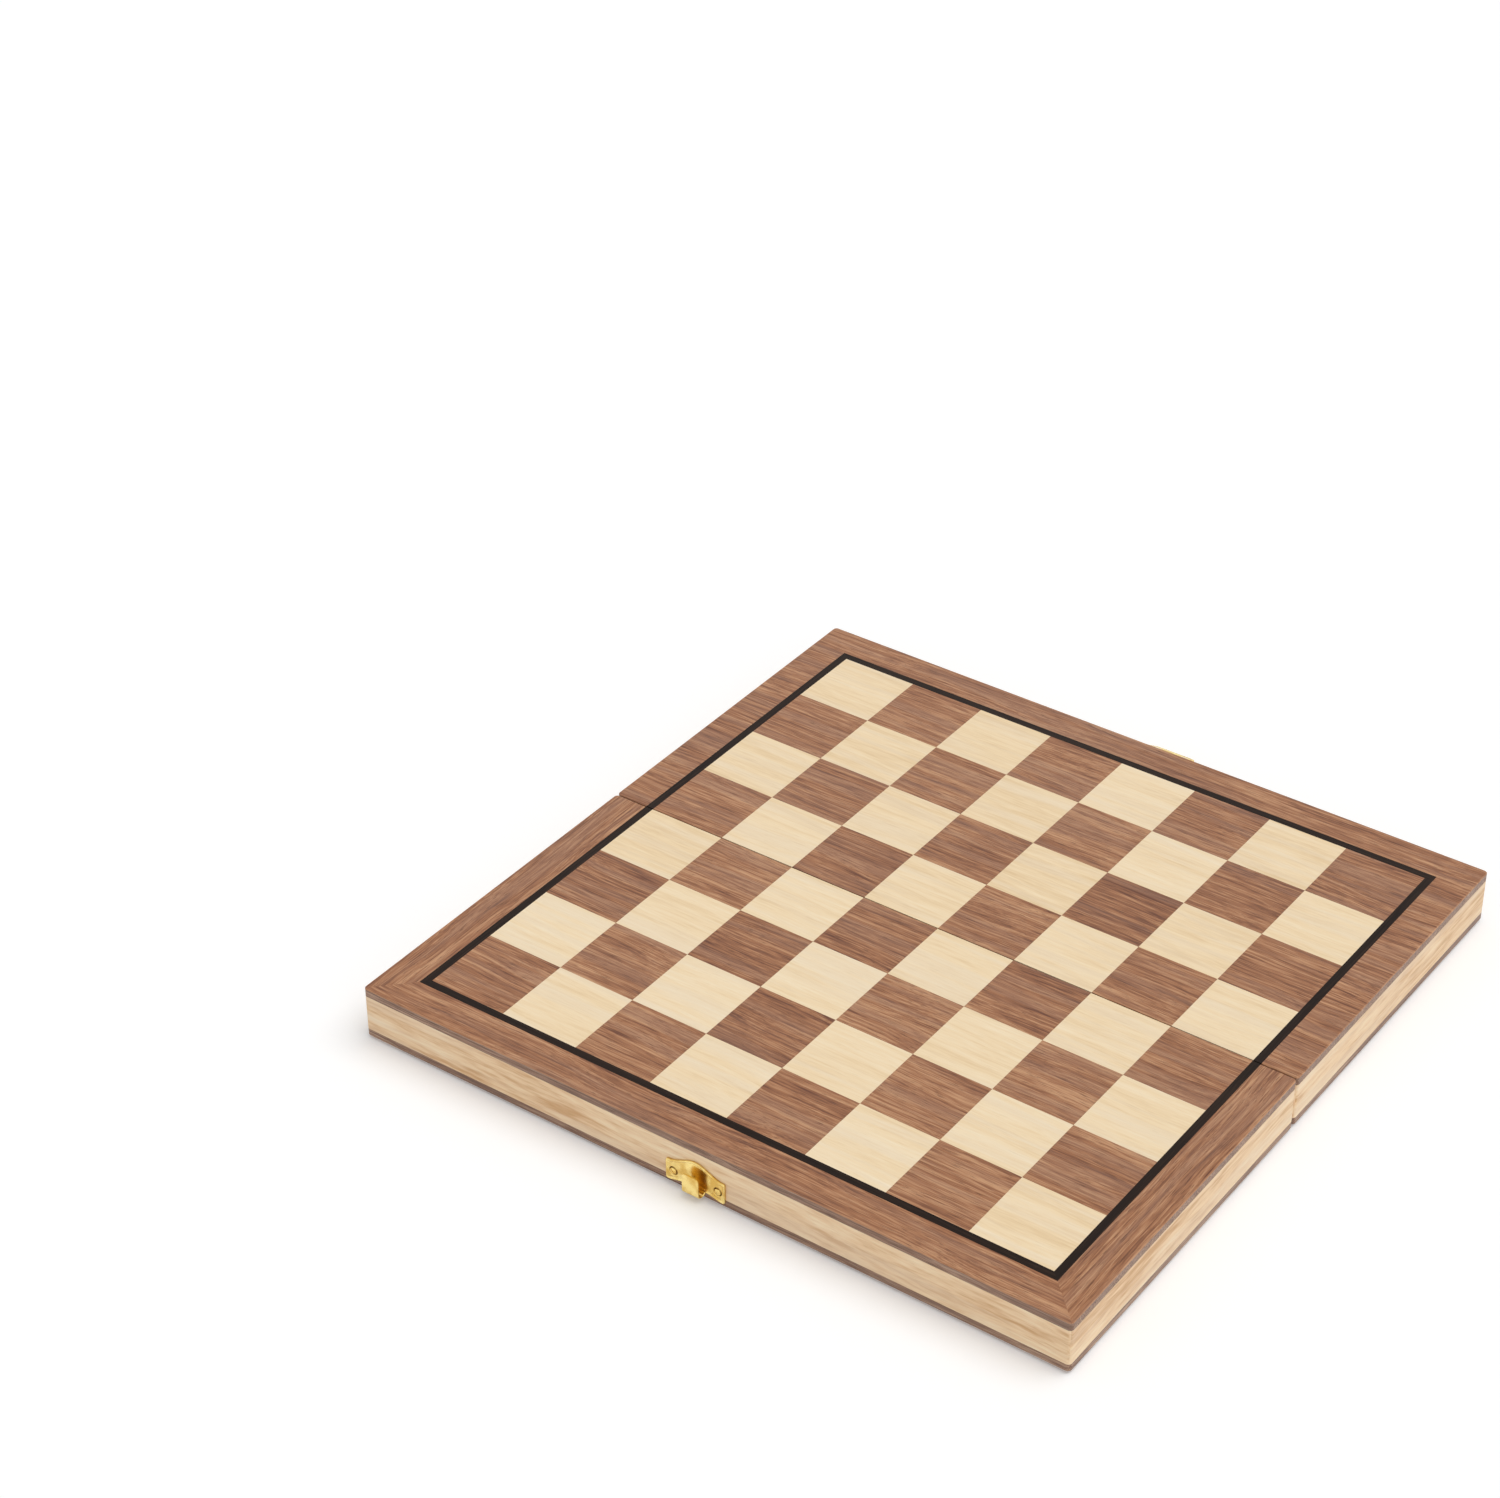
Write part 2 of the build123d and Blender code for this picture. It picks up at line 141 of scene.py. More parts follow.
class Wire:
    """A socket of a material under construction, used in sums like a number."""

    def __init__(self, finish, socket):
        self.finish = finish
        self.socket = socket

    def maths(self, operation, *others):
        """One Math node with this wire as its first value."""
        inputs = {0: self}
        inputs.update({i + 1: other for i, other in enumerate(others)})
        return self.finish.add("ShaderNodeMath", {"operation": operation}, inputs).wire("Value")

    def turned(self, operation, other):
        """The same with this wire as the second value."""
        inputs = {0: other, 1: self}
        return self.finish.add("ShaderNodeMath", {"operation": operation}, inputs).wire("Value")

    def __add__(self, other): return self.maths("ADD", other)
    def __radd__(self, other): return self.maths("ADD", other)
    def __sub__(self, other): return self.maths("SUBTRACT", other)
    def __rsub__(self, other): return self.turned("SUBTRACT", other)
    def __mul__(self, other): return self.maths("MULTIPLY", other)
    def __truediv__(self, other): return self.maths("DIVIDE", other)
    def __pow__(self, other): return self.maths("POWER", other)
    def __abs__(self): return self.maths("ABSOLUTE")

    def between(self, low, high):
        """Nought below low, one above high and a smooth step from one to the other."""
        settings = {"interpolation_type": "SMOOTHSTEP"}
        inputs = {"Value": self, "From Min": low, "From Max": high}
        return self.finish.add("ShaderNodeMapRange", settings, inputs).wire("Result")


class Node:
    """A node just added, whose outputs come out as wires."""

    def __init__(self, finish, node):
        self.finish = finish
        self.node = node

    def wire(self, output):
        """The named output as a wire."""
        return Wire(self.finish, self.node.outputs[output])


class Finish:
    """One material under construction: its node tree and its surface shader."""

    def __init__(self, name):
        self.material = bpy.data.materials.new(name)
        self.material.use_nodes = True
        self.tree = self.material.node_tree
        self.tree.nodes.clear()
        self.surface = self.add("ShaderNodeBsdfPrincipled")
        self.add("ShaderNodeOutputMaterial", {}, {"Surface": self.surface.wire("BSDF")})

    def add(self, kind, settings=None, inputs=None):
        """A node of that type, its settings made first and then its sockets filled or linked."""
        node = self.tree.nodes.new(kind)
        for name, value in (settings or {}).items():
            if name == "stops":
                self.set_stops(node.color_ramp, value)
            else:
                setattr(node, name, value)
        for name, value in (inputs or {}).items():
            if isinstance(value, Wire):
                self.tree.links.new(value.socket, node.inputs[name])
            else:
                node.inputs[name].default_value = value
        return Node(self, node)

    @staticmethod
    def set_stops(ramp, stops):
        """Puts the stops on a colour ramp: each is a place on it and a colour."""
        while len(ramp.elements) < len(stops):
            ramp.elements.new(0.5)
        for element, (place, colour) in zip(ramp.elements, stops):
            element.position = place
            element.color = (*colour, 1)

    def place(self):
        """The point's place on the object, as three wires in millimetres."""
        coordinates = self.add("ShaderNodeTexCoord").wire("Object")
        parts = self.add("ShaderNodeSeparateXYZ", {}, {0: coordinates})
        return [parts.wire(axis) * MM_PER_METRE for axis in "XYZ"]

    def noise(self, x, y, z, detail=2.0, rough=0.5):
        """Smooth noise about 0.5, read at the point x, y, z, where one unit is one lump."""
        point = self.add("ShaderNodeCombineXYZ", {}, {0: x, 1: y, 2: z}).wire("Vector")
        inputs = {"Vector": point, "Scale": 1.0, "Detail": detail, "Roughness": rough}
        return self.add("ShaderNodeTexNoise", {}, inputs).wire(0)

    def mix(self, share, first, second):
        """A colour between two, as Blender mixes them."""
        settings = {"data_type": "RGBA", "blend_type": "MIX"}
        return self.add("ShaderNodeMix", settings, {0: share, 6: first, 7: second}).wire(2)

    def bump(self, height, strength, distance):
        """A normal that leans as if the surface had that relief."""
        inputs = {"Height": height, "Strength": strength, "Distance": distance}
        return self.add("ShaderNodeBump", {}, inputs).wire("Normal")

    def set(self, **values):
        """Fills the surface's sockets, whose names are written with _ for a space."""
        for name, value in values.items():
            socket = self.surface.node.inputs[name.replace("_", " ")]
            if isinstance(value, Wire):
                self.tree.links.new(value.socket, socket)
            else:
                socket.default_value = value
        return self.material


def rgb(red, green, blue):
    """A colour picked on a screen, 0 to 255, as the linear light that Blender counts in."""
    return tuple(round((c / 255) ** SCREEN_GAMMA, 4) for c in (red, green, blue)) + (1.0,)


# %% [markdown]
# ## Wood
# Sawn wood is a stack of growth rings seen from the side: colour changes slowly along the grain and
# quickly across it. So noise is read with the long axis squeezed. Broad bands, fine streaks and
# short dark pores are such noises at different widths. Each veneer square is cut from another leaf,
# so the number of the square shifts its pattern and its tone.

# %% Wood finishes
# Lumps of each noise in a millimetre, along the grain and across it.
WANDER_ALONG, WANDER_ACROSS = 0.011, 0.04
BAND_ALONG, BAND_ACROSS = 0.005, 0.10
STREAK_ALONG, HAIR_ALONG, HAIRS_IN_A_STREAK = 0.018, 0.05, 3
PORE_ALONG, PORE_ACROSS = 0.12, 4.2
GREY_ALONG, GREY_ACROSS, GREY_DEEPER = 0.006, 0.14, 20
# How far the grain wanders, and how much each noise counts.
WANDER_MM = 7
HAIR_SHARE, GREY_SHARE, LEAF_TONE = 1.1, 0.35, 0.12
PORES_FROM, PORES_FULL, PORE_DARKER = 0.58, 0.72, 0.55
GREY_FROM, GREY_FULL = 0.45, 0.65
HAIR_RELIEF, STREAK_RELIEF, HAIR_DULLS, PORE_DULLS = 0.6, 0.4, 0.12, 0.10
DARK_AT, MIDDLE_AT, LIGHT_AT = 0.22, 0.5, 0.78
LEAF_SHIFT_ALONG, LEAF_SHIFT_ACROSS, SEAM = 90, 60, 0.3
RELIEF, RELIEF_METRES, COAT_ROUGHNESS = 0.3, 0.00015, 0.25
# The border's outer edges are painted lighter, partly wear and partly a painted highlight: the
# band, how much lighter, and its lumps.
HIGHLIGHT_AND_WEAR_BAND, HIGHLIGHT_AND_WEAR_LIGHTER = (0.7, 0.1), 1.25
EDGE_LUMPS, EDGE_LUMPS_UP, EDGE_LUMPS_FROM, EDGE_LUMPS_FULL, EDGE_LUMPS_LEAST = 0.05, 0.3, 0.35, 0.6, 0.4


def grain_axes(finish, along):
    """Along the grain, and the two directions across it, in millimetres."""
    x, y, z = finish.place()
    return (x, y, z) if along == "X" else (y, x, z)


def leaf_of_square(finish, x, y, square):
    """A random shade and shift for each square, from its file and its rank from the fold."""
    file = (x / square).maths("FLOOR")
    rank = ((y - y.maths("SIGN") * SEAM) / square).maths("FLOOR")
    point = finish.add("ShaderNodeCombineXYZ", {}, {0: file, 1: rank, 2: 0.5}).wire("Vector")
    random = finish.add("ShaderNodeTexWhiteNoise", {"noise_dimensions": "3D"}, {"Vector": point})
    shifts = finish.add("ShaderNodeSeparateColor", {}, {0: random.wire("Color")})
    shift_along = shifts.wire("Red") * LEAF_SHIFT_ALONG
    shift_across = shifts.wire("Green") * LEAF_SHIFT_ACROSS
    return random.wire("Value"), shift_along, shift_across


def wood(
    name, along, colours, figure, square=0.0, seed=0.0, gloss=0.42, coat=0.12, shine=0.35, rub=0.0
):
    """Lacquered wood, its colours given from dark to light.

    figure holds four numbers: streaks per millimetre across the grain, how strongly the broad bands
    and the streaks show, and how dark the pores are.
    """
    streak, band, contrast, pore = figure
    finish = Finish(name)
    a, b, c = grain_axes(finish, along)
    tone = 0.0
    if square:
        random, shift_a, shift_b = leaf_of_square(finish, a, b, square)
        tone = (random - 0.5) * LEAF_TONE
        a = a + shift_a
        b = b + shift_b
    slowly = (a * WANDER_ALONG, b * WANDER_ACROSS, c * WANDER_ACROSS + seed)
    wander = finish.noise(*slowly, 1.0) * WANDER_MM
    across = b + wander
    deep = c + wander + seed
    hair = streak * HAIRS_IN_A_STREAK
    bands = finish.noise(a * BAND_ALONG, across * BAND_ACROSS, deep * BAND_ACROSS, 2.0) - 0.5
    streaks = finish.noise(a * STREAK_ALONG, across * streak, deep * streak, 2.0, 0.6) - 0.5
    hairs = finish.noise(a * HAIR_ALONG, across * hair, deep * hair, 2.0, 0.7) - 0.5
    specks = finish.noise(a * PORE_ALONG, across * PORE_ACROSS, deep * PORE_ACROSS, 1.0)
    pores = specks.between(PORES_FROM, PORES_FULL)
    shade = bands * band + streaks * contrast + hairs * (contrast * HAIR_SHARE) + tone + 0.5
    dark, middle, light = colours
    stops = [(DARK_AT, dark[:3]), (MIDDLE_AT, middle[:3]), (LIGHT_AT, light[:3])]
    body = finish.add("ShaderNodeValToRGB", {"stops": stops}, {0: shade}).wire("Color")
    grey_deep = deep * GREY_ACROSS + GREY_DEEPER
    patches = finish.noise(a * GREY_ALONG, across * GREY_ACROSS, grey_deep, 2.0)
    body = finish.mix(patches.between(GREY_FROM, GREY_FULL) * GREY_SHARE, body, greyer(middle))
    body = finish.mix(pores * pore, body, times_light(dark, PORE_DARKER))
    # A painted highlight and wear: the border is lighter along its outer edges.
    if rub:
        body = finish.mix(edge_rub(finish) * rub, body, times_light(light, HIGHLIGHT_AND_WEAR_LIGHTER))
    relief = hairs * HAIR_RELIEF + streaks * STREAK_RELIEF - pores * pore
    return finish.set(
        Base_Color=body,
        Roughness=gloss + hairs * HAIR_DULLS + pores * PORE_DULLS,
        Normal=finish.bump(relief, RELIEF, RELIEF_METRES),
        Coat_Weight=coat,
        Coat_Roughness=COAT_ROUGHNESS,
        Specular_IOR_Level=shine,
    )


def greyer(colour):
    """The colour moved a third of the way towards the grey of the same lightness."""
    grey = 0.3 * colour[0] + 0.6 * colour[1] + 0.1 * colour[2]
    return tuple(k + (grey - k) / 3 for k in colour[:3]) + (1.0,)


def times_light(colour, share):
    """The colour with its light multiplied by the share."""
    return tuple(min(1.0, k * share) for k in colour[:3]) + (1.0,)


def edge_rub(finish):
    """One on a narrow line along the outer edges of the board, a painted highlight and wear, broken
    up where hands wear them.
    """
    x, y, z = finish.place()
    inner, outer = HIGHLIGHT_AND_WEAR_BAND
    side = abs(x).between(side_face - inner, side_face - outer)
    ends = abs(y).between(back_face - inner, back_face - outer)
    lumps = finish.noise(x * EDGE_LUMPS, y * EDGE_LUMPS, z * EDGE_LUMPS_UP, 2.0)
    broken = lumps.between(EDGE_LUMPS_FROM, EDGE_LUMPS_FULL) * (1 - EDGE_LUMPS_LEAST) + EDGE_LUMPS_LEAST
    return side.maths("MAXIMUM", ends) * broken


WALNUT = (rgb(101, 57, 35), rgb(161, 108, 73), rgb(201, 152, 113))
WALNUT_EDGE = (rgb(92, 64, 50), rgb(140, 104, 82), rgb(184, 152, 128))
MAPLE = (rgb(224, 191, 143), rgb(245, 219, 178), rgb(252, 234, 202))
PINE = (rgb(206, 160, 112), rgb(236, 202, 160), rgb(246, 222, 186))
BLACK_LINE = (rgb(22, 15, 11), rgb(40, 29, 23), rgb(60, 46, 37))
SQUARE = 42.0

walnut_figure = (0.5, 0.45, 0.85, 0.7)
edge_figure = (1.3, 0.4, 1.0, 0.4)
maple_figure = (0.3, 0.3, 0.4, 0.12)
wall_figure = (0.18, 0.7, 0.8, 0.15)
line_figure = (0.9, 0.4, 0.6, 0.3)


def wood_both_ways(name, colours, figure, seeds, **others):
    """The same wood twice, with its grain along X and along Y."""
    return {
        along: wood(f"{name}_{along.lower()}", along, colours, figure, seed=seed, **others)
        for along, seed in zip("XY", seeds)
    }


dark_squares = wood("walnut_squares", "X", WALNUT, walnut_figure, square=SQUARE)
light_squares = wood("maple_squares", "X", MAPLE, maple_figure, square=SQUARE, seed=3.1)
border_along = wood_both_ways("walnut_border", WALNUT, walnut_figure, (7.7, 9.3), rub=0.3)
rim_along = wood_both_ways("walnut_rim", WALNUT_EDGE, edge_figure, (1.7, 2.9))
wall_along = wood_both_ways("pale_wall", PINE, wall_figure, (4.4, 5.6), gloss=0.5)
inlay_along = wood_both_ways("black_line", BLACK_LINE, line_figure, (6.2, 6.8), coat=0.0, shine=0.1)
panel_wood = wood("walnut_panel", "X", WALNUT_EDGE, edge_figure, seed=11.0)
print("wood finishes made")

# %% [markdown]
# ## Brass
# The hardware is thin pressed sheet with a bright plated face. The plate is nearly smooth, with a
# faint cloudiness, fine rubbing lines, and painted shade in a dark ring round each screw.

# %% Brass finish
HINGE_X, HINGE_SCREW_OFF, HINGE_SCREW_Y = 110.0, 9.0, 5.4
SCREW_X, SCREW_UP = 12.0, 7.0
CATCH_RING, HINGE_RING = 1.9, 1.95
CLOUDS_PER_MM, LINES_PER_MM, LINES_UP_PER_MM = 0.18, 2.2, 14
CLOUD_FROM, CLOUD_FULL = 0.32, 0.62
# The painted shade round each screw: how strong it is, how far from its ring it stays full, and
# where it has faded out.
PAINTED_SHADE_SHARE, PAINTED_SHADE_EDGE, PAINTED_SHADE_REACH = 0.8, 0.1, 0.5
POLISH, CLOUD_DULLS, LINES_DULL, PAINTED_SHADE_DULLS = 0.14, 0.12, 0.06, 0.15
CLOUD_RELIEF, BRASS_RELIEF, BRASS_RELIEF_METRES = 2, 0.12, 0.00005
# The last colour is the painted shade laid in a ring round each screw.
BRASS_SHADED, BRASS_BRIGHT, PAINTED_SHADE_BROWN = rgb(218, 178, 94), rgb(248, 224, 148), rgb(92, 58, 20)


def rings_of_painted_shade(across, up, places, ring):
    """One on a ring round each place, fading to nought on both sides of it: where shade is painted
    round a screw.
    """
    painted_shade = 0.0
    for place in places:
        off = ((across - place[0]) ** 2 + (up - place[1]) ** 2) ** 0.5
        painted_shade = (1 - abs(off - ring).between(PAINTED_SHADE_EDGE, PAINTED_SHADE_REACH)) + painted_shade
    return painted_shade


def brass(name, screw_places=(), ring=CATCH_RING, face="XZ"):
    """Plated brass with painted shade in a dark ring round each screw, whose place is on the face's
    two axes.
    """
    finish = Finish(name)
    x, y, z = finish.place()
    axes = {"X": x, "Y": y, "Z": z}
    cloud = finish.noise(x * CLOUDS_PER_MM, y * CLOUDS_PER_MM, z * CLOUDS_PER_MM, 3.0)
    lines = finish.noise(x * LINES_PER_MM, y * LINES_PER_MM, z * LINES_UP_PER_MM, 2.0, 0.6)
    body = finish.mix(cloud.between(CLOUD_FROM, CLOUD_FULL), BRASS_SHADED, BRASS_BRIGHT)
    painted_shade = rings_of_painted_shade(axes[face[0]], axes[face[1]], screw_places, ring)
    if screw_places:
        # Painted shade: the colour is darkened in a ring round each screw, and the shine dulled
        # there.
        body = finish.mix(painted_shade * PAINTED_SHADE_SHARE, body, PAINTED_SHADE_BROWN)
    return finish.set(
        Base_Color=body,
        Metallic=1.0,
        Roughness=POLISH + cloud * CLOUD_DULLS + lines * LINES_DULL + painted_shade * PAINTED_SHADE_DULLS,
        Normal=finish.bump(lines + cloud * CLOUD_RELIEF, BRASS_RELIEF, BRASS_RELIEF_METRES),
    )


hinge_places = [
    (hinge * HINGE_X + off * HINGE_SCREW_OFF, side * HINGE_SCREW_Y)
    for hinge in (-1, 1)
    for off in (-1, 1)
    for side in (-1, 1)
]
brass_finish = brass("polished_brass")
hinge_finish = brass("hinge_brass", hinge_places, HINGE_RING, "XY")
catch_finish = brass("catch_brass", [(x, rim_z + SCREW_UP) for x in (-SCREW_X, SCREW_X)])
print("screws ringed on the hinges:", len(hinge_places))

# %% [markdown]
# ## Felt
# Felt is a mat of fibres with no weave: a deep colour mottled at the size of a pinhead, very rough,
# with sheen where the loose fibres catch the light.

# %% Felt finish
MATS_PER_MM, TUFTS_PER_MM, TUFT_SHARE = 1.1, 5, 0.5
FELT_DEEP, FELT_MIDDLE, FELT_TUFT = rgb(28, 66, 42), rgb(48, 98, 62), rgb(70, 124, 82)


def felt():
    """Green felt: mat of broad and fine mottling, dull, with a sheen."""
    finish = Finish("green_felt")
    x, y, z = finish.place()
    mat = finish.noise(x * MATS_PER_MM, y * MATS_PER_MM, z, 4.0, 0.7)
    tufts = finish.noise(x * TUFTS_PER_MM, y * TUFTS_PER_MM, z, 3.0, 0.7)
    body = finish.mix(mat.between(0.3, 0.7), FELT_DEEP, FELT_MIDDLE)
    body = finish.mix(tufts.between(0.45, 0.7) * TUFT_SHARE, body, FELT_TUFT)
    return finish.set(
        Base_Color=body,
        Roughness=0.95,
        Sheen_Weight=0.4,
        Sheen_Roughness=0.5,
        Normal=finish.bump(mat + tufts, 0.6, 0.0004),
    )


felt_finish = felt()
print("felt:", felt_finish.name)

# %% [markdown]
# ## Finishes on the construction model
# Every wooden node keeps its shape. Its name tells which finish it takes, and the near border's
# side strips run their grain along Y, because the near frame is mitred. The far border is cut from
# wide veneer with all its grain along the fold.

# %% Dress the nodes
def dress(node, material):
    """Gives a node of the construction model its one material."""
    mesh = node.data
    mesh.materials.clear()
    mesh.materials.append(material)
    mesh.polygons.foreach_set("material_index", np.zeros(len(mesh.polygons), dtype=np.int32))


def finish_for(name):
    """The finish that a node takes, from the way its name ends. What isn't listed is brass."""
    sideways = "left" in name or "right" in name
    along = "Y" if sideways else "X"
    by_ending = {
        "dark_squares": dark_squares,
        "light_squares": light_squares,
        "border": border_along["X" if name.startswith("far") else along],
        "inlay": inlay_along[along],
        "wall": wall_along[along],
        "rim": rim_along[along],
        "panel": panel_wood,
        "felt": felt_finish,
        "leaf": hinge_finish,
    }
    fitting = (finish for ending, finish in by_ending.items() if name.endswith(ending))
    return next(fitting, brass_finish)


for name, node in nodes.items():
    dress(node, finish_for(name))
print("dressed", len(nodes), "nodes")

# %% [markdown]
# ## Surfaces from grids
# A new piece is a grid of points, worked out all at once. Neighbouring points make the faces. One
# helper turns a grid into a closed mesh, merges what meets at a pole and turns the faces outwards.

# %% From a grid of points to a piece
MERGE_METRES = 2e-6


def piece_from_grids(name, grids, material, sharp_degrees=40):
    """A mesh of closed strips: each grid is rows by columns by three, its columns run round a loop.

    The first and last rows may be single points, which close the ends. The other rows are rings.
    """
    points = np.concatenate([g.reshape(-1, 3) for g in grids])
    faces = []
    start = 0
    for grid in grids:
        rows, columns = grid.shape[:2]
        number = start + np.arange(rows * columns).reshape(rows, columns)
        across = np.roll(number, -1, axis=1)
        quads = np.stack([number[:-1], across[:-1], across[1:], number[1:]], axis=-1)
        faces.append(quads.reshape(-1, 4))
        start += rows * columns
    faces = np.concatenate(faces)
    mesh = bpy.data.meshes.new(name)
    mesh.from_pydata((points * MM).tolist(), [], faces.tolist())
    work = bmesh.new()
    work.from_mesh(mesh)
    bmesh.ops.remove_doubles(work, verts=work.verts, dist=MERGE_METRES)
    bmesh.ops.recalc_face_normals(work, faces=work.faces)
    work.to_mesh(mesh)
    work.free()
    mesh.polygons.foreach_set("use_smooth", np.ones(len(mesh.polygons), dtype=bool))
    mesh.set_sharp_from_angle(angle=math.radians(sharp_degrees))
    mesh.materials.append(material)
    piece = bpy.data.objects.new(name, mesh)
    bpy.context.scene.collection.objects.link(piece)
    print(name, len(mesh.vertices), "points", len(mesh.polygons), "faces")
    return piece


def smooth(q):
    """A step from nought to one that starts and ends level: three q squared less two q cubed."""
    q = np.clip(q, 0, 1)
    return q * q * (3 - 2 * q)


def evenly(points, count):
    """The same closed outline with count points, spaced evenly along its length."""
    closed = np.vstack([points, points[:1]])
    steps = np.linalg.norm(np.diff(closed, axis=0), axis=1)
    length = np.concatenate([[0], np.cumsum(steps)])
    wanted = np.linspace(0, length[-1], count, endpoint=False)
    return np.stack([np.interp(wanted, length, closed[:, k]) for k in (0, 1)], axis=-1)


def drawn_in(outline, distance):
    """The outline moved inwards by a distance, each point along the outline's own normal."""
    ahead = np.roll(outline, -1, axis=0) - np.roll(outline, 1, axis=0)
    ahead /= np.linalg.norm(ahead, axis=1, keepdims=True)
    inward = np.stack([-ahead[:, 1], ahead[:, 0]], axis=-1)
    return outline + inward * np.asarray(distance).reshape(-1, 1)


def arc(centre_x, centre_y, radius, start, end, count=12):
    """Points on an arc, its angles in degrees."""
    angle = np.radians(np.linspace(start, end, count))
    return np.stack([centre_x + radius * np.cos(angle), centre_y + radius * np.sin(angle)], axis=-1)


# %% [markdown]
# ## The catch plate
# The plate is pressed from sheet: a winged outline with a rolled bead round its edge, a field that
# swells slightly towards the middle, and dimples where the screws pull it down. It is worked out as
# rings: the outline drawn in step by step, then shrunk to one point. Each ring has its own height
# off the wall.

# %% Catch plate surface
EAR_X, EAR_LOW, EAR_HIGH, CROWN, WAIST, WAIST_X, EAR_R = 16.0, 1.8, 12.9, 17.6, 3.5, 5.4, 1.1
SHEET = 1.0
PLATE_POINTS, FIELD_RINGS, FIELD_INSET, FIELD_SINK, FIELD_RISE = 440, 91, 1.2, 0.2, 16
PLATE_MIDDLE = np.array([0.0, 9.0])
SWELL, SWELL_ACROSS, SWELL_CENTRE, SWELL_UP = 0.3, 7.0, 9.5, 4.5
MOAT_DEEP, MOAT_RADIUS, MOAT_WIDE = 0.6, 1.95, 0.3
# How far the edge is drawn in, and how far it then stands off the wall.
BEAD = [
    (0.25, 0.0), (0.0, 0.15), (0.0, 0.8), (0.1, 1.05),
    (0.3, 1.2), (0.55, 1.22), (0.8, 1.08), (1.0, 0.86),
]


def catch_outline(count):
    """Half the outline from the waist to the crown, and its mirror: ogees are smooth steps."""
    q = np.linspace(0, 1, 40)
    ear = EAR_X - EAR_R
    low = np.stack([WAIST_X + (ear - WAIST_X) * q, WAIST + (EAR_LOW - WAIST) * smooth(q)], -1)
    low_corner = arc(ear, EAR_LOW + EAR_R, EAR_R, -90, 0)
    high_corner = arc(ear, EAR_HIGH - EAR_R, EAR_R, 0, 90)
    high = np.stack([ear * (1 - q), EAR_HIGH + (CROWN - EAR_HIGH) * smooth(q)], -1)
    half = np.vstack([[[0, WAIST]], low, low_corner[1:], high_corner, high[1:]])
    mirror = half[-2:0:-1] * [-1, 1]
    return evenly(np.vstack([half, mirror]), count)


def near_wall_point(across, up, out):
    """A point given on the near face: across, up from the rim's foot, and out from the wood."""
    return np.stack([across, front_face - out, rim_z + up], axis=-1)


def plate_height(across, up, edge):
    """Sheet - sink + (swell - moats) times edge, where swell and moats go as exp(-r squared)."""
    swell = SWELL * np.exp(-((across / SWELL_ACROSS) ** 2) - ((up - SWELL_CENTRE) / SWELL_UP) ** 2)
    moats = 0.0
    for x in (-SCREW_X, SCREW_X):
        distance = np.hypot(across - x, up - SCREW_UP)
        moats = moats + MOAT_DEEP * np.exp(-(((distance - MOAT_RADIUS) / MOAT_WIDE) ** 2))
    return SHEET - FIELD_SINK + (swell - moats) * edge


def catch_plate_surface():
    """Rings from the back's middle, round the bead, and in over the field: outline to one point."""
    outline = catch_outline(PLATE_POINTS)
    back = near_wall_point(np.zeros(1), PLATE_MIDDLE[1:], np.zeros(1))
    rings = [np.repeat(back, PLATE_POINTS, axis=0)]
    for inset, height in BEAD:
        ring = drawn_in(outline, np.full(PLATE_POINTS, inset))
        rings.append(near_wall_point(ring[:, 0], ring[:, 1], np.full(PLATE_POINTS, height)))
    inner = drawn_in(outline, np.full(PLATE_POINTS, FIELD_INSET))
    share = np.linspace(0, 1, FIELD_RINGS).reshape(-1, 1, 1)
    field = inner + (PLATE_MIDDLE - inner) * share
    height = plate_height(field[..., 0], field[..., 1], smooth(share[..., 0] * FIELD_RISE))
    return np.concatenate([np.stack(rings), near_wall_point(field[..., 0], field[..., 1], height)])


# %% [markdown]
# ## The catch hook
# The hook is a tab of the same sheet, bent out at the waist in a half circle and back up in front
# of the plate. A path runs up the middle of the sheet, and a flat section with rounded edges is
# carried along it. The section narrows over the last stretch, which rounds the tip.

# %% Catch hook surface
HOOK_WIDTH, HOOK_REACH, HOOK_SHEET, HOOK_TIP, HOOK_TIP_R, HOOK_FLARE = 9.0, 5.0, 0.9, 12.5, 2.0, 0.9
HOOK_ROOT, ROOT_POINTS, BEND_POINTS, TAB_POINTS = 1.6, 6, 28, 29


def rounded_section(half_width, half_thick, count=12):
    """Flat sections with half round edges, one for each width: width by thickness, as loops."""
    turn = np.linspace(-np.pi / 2, np.pi / 2, count)
    reach = half_width[:, None] - half_thick + half_thick * np.cos(turn)
    edge = np.stack([reach, np.broadcast_to(half_thick * np.sin(turn), reach.shape)], -1)
    return np.concatenate([edge, edge[:, ::-1] * [-1, 1]], axis=1)


def hook_path():
    """The middle of the sheet, out and up: a short root, a half circle under it and a long tab."""
    radius = (HOOK_REACH - HOOK_SHEET) / 2
    centre_out = HOOK_REACH / 2
    sinking = np.linspace(WAIST + HOOK_ROOT, WAIST, ROOT_POINTS, endpoint=False)
    root = np.stack([np.full(ROOT_POINTS, HOOK_SHEET / 2), sinking], -1)
    bend = arc(centre_out, WAIST, radius, 180, 360, BEND_POINTS)
    rising = np.linspace(WAIST, HOOK_TIP, TAB_POINTS + 1)[1:]
    tab = np.stack([np.full(TAB_POINTS, centre_out + radius), rising], -1)
    return np.vstack([root, bend, tab])


def hook_half_width(path):
    """Half the width along the path: flared at the root, and a quarter circle at the tip."""
    in_front = path[:, 0] > HOOK_REACH / 2
    left = np.where(in_front, np.clip(HOOK_TIP - path[:, 1], 0, HOOK_TIP_R), HOOK_TIP_R)
    rounding = np.sqrt(np.clip(HOOK_TIP_R**2 - (HOOK_TIP_R - left) ** 2, 0, None))
    along = np.arange(len(path)) / (ROOT_POINTS + BEND_POINTS)
    return HOOK_WIDTH / 2 - HOOK_TIP_R + rounding + HOOK_FLARE * (1 - smooth(along))


